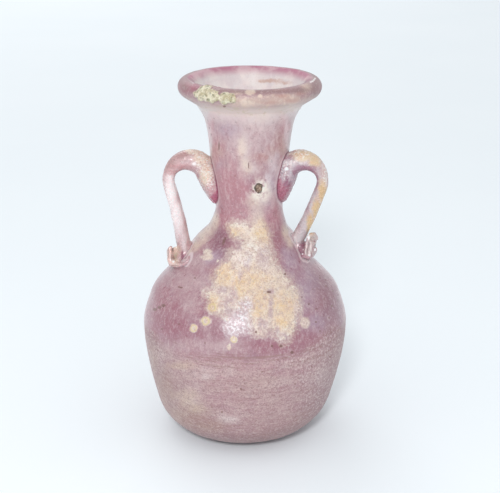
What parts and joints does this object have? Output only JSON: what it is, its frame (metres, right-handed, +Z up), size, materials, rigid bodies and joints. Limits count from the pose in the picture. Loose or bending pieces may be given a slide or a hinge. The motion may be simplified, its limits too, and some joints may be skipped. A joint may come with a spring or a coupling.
{
  "type": "glass amphora",
  "caption": "Blown glass flask with a wide rolled lip, waisted neck, bulging shoulder and rounded base, with two looped trail handles folded on the shoulder.",
  "frame": {"origin": "middle of the flat that the flask stands on", "axes": "+Z up through the mouth, front toward -Y, the handles to either side along X"},
  "size_m": [0.0795, 0.0796, 0.14],
  "materials": {
    "aubergine_glass": "translucent purple glass, weathered matt and milky",
    "trail_glass": "translucent pinkish glass with cream weathering"
  },
  "bodies": {
    "root": {"flask": "aubergine_glass", "handle_left": "trail_glass", "handle_right": "trail_glass"}
  },
  "joints": []
}
